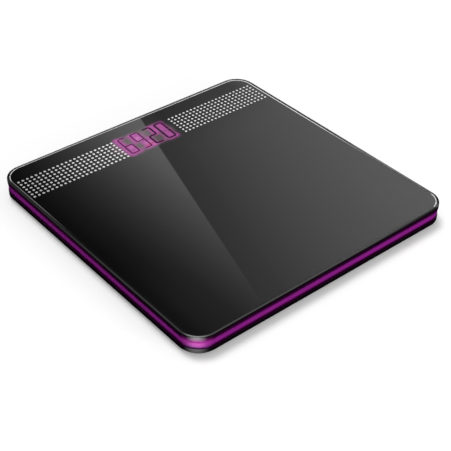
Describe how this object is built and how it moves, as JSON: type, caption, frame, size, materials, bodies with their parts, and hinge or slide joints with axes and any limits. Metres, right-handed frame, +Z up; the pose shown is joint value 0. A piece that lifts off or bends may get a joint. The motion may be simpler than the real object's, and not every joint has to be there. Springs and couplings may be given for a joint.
{
  "type": "digital bathroom scale",
  "caption": "Square glass-topped electronic bathroom scale with a lit digital display, a coloured trim band, load-cell feet and a battery cover underneath.",
  "frame": {"origin": "middle of the underside, on the floor between the foot pads", "axes": "+Z up, +Y towards the display edge, +X to the right of someone standing on it and reading the display"},
  "size_m": [0.3, 0.3, 0.0209],
  "materials": {
    "tempered_glass": "polished, black from the print under it",
    "black_ink": "screen print",
    "smoked_film": "smoked window",
    "foam_tape": "closed-cell foam",
    "frame_plastic": "moulded",
    "trim_plastic": "high gloss purple",
    "tray_plastic": "gloss black wall, textured underside",
    "zinc_steel": "zinc plated",
    "foot_plastic": "moulded",
    "pad_rubber": "soft, ringed",
    "cell_steel": "nickel plated",
    "carrier_plastic": "moulded",
    "gauge_coating": "silicone coating",
    "grey_cable": "PVC",
    "cover_plastic": "fine texture",
    "cell_can": "printed sleeve",
    "spring_wire": "nickel plated",
    "contact_plate": "nickel plated",
    "red_cable": "PVC",
    "board_laminate": "solder mask",
    "led_epoxy": "black face",
    "led_light": "lit",
    "tinned_wire": "tinned",
    "chip_resin": "epoxy",
    "chip_ceramic": "ceramic",
    "socket_nylon": "nylon",
    "button_plastic": "moulded",
    "switch_plastic": "moulded"
  },
  "bodies": {
    "scale": {"glass_platform": "tempered_glass", "print_layer": "black_ink", "display_film": "smoked_film", "glass_tape": "foam_tape", "upper_frame": "frame_plastic", "trim_band": "trim_plastic", "base_tray": "tray_plastic", "case_screws": "zinc_steel", "frame_pads": "foam_tape", "foot_cup_fl": "foot_plastic", "foot_cup_fr": "foot_plastic", "foot_cup_bl": "foot_plastic", "foot_cup_br": "foot_plastic", "foot_pad_fl": "pad_rubber", "foot_pad_fr": "pad_rubber", "foot_pad_bl": "pad_rubber", "foot_pad_br": "pad_rubber", "load_cell_fl": "cell_steel", "load_cell_fr": "cell_steel", "load_cell_bl": "cell_steel", "load_cell_br": "cell_steel", "cell_carrier_fl": "carrier_plastic", "cell_carrier_fr": "carrier_plastic", "cell_carrier_bl": "carrier_plastic", "cell_carrier_br": "carrier_plastic", "strain_gauges": "gauge_coating", "cell_cables": "grey_cable", "battery_1": "cell_can", "battery_2": "cell_can", "battery_3": "cell_can", "battery_4": "cell_can", "battery_springs": "spring_wire", "contact_plates": "contact_plate", "battery_leads": "red_cable", "main_board": "board_laminate", "board_screws": "zinc_steel", "led_housing": "led_epoxy", "lit_segments": "led_light", "led_pins": "tinned_wire", "controller": "chip_resin", "board_parts": "chip_ceramic", "cable_sockets": "socket_nylon", "unit_switch": "switch_plastic"},
    "battery_cover": {"battery_cover": "cover_plastic"},
    "unit_button": {"unit_button": "button_plastic"}
  },
  "joints": [
    {"name": "battery_cover_hinge", "type": "hinge", "parent": "scale", "child": "battery_cover", "pos_m": [0, 0.00765, 0.003], "axis": [-1, 0, 0], "range_deg": [0, 80]},
    {"name": "unit_button_press", "type": "slide", "parent": "scale", "child": "unit_button", "axis": [0, 0, 1], "range_m": [0, 0.0008], "stiffness_N_per_m": 1200}
  ]
}
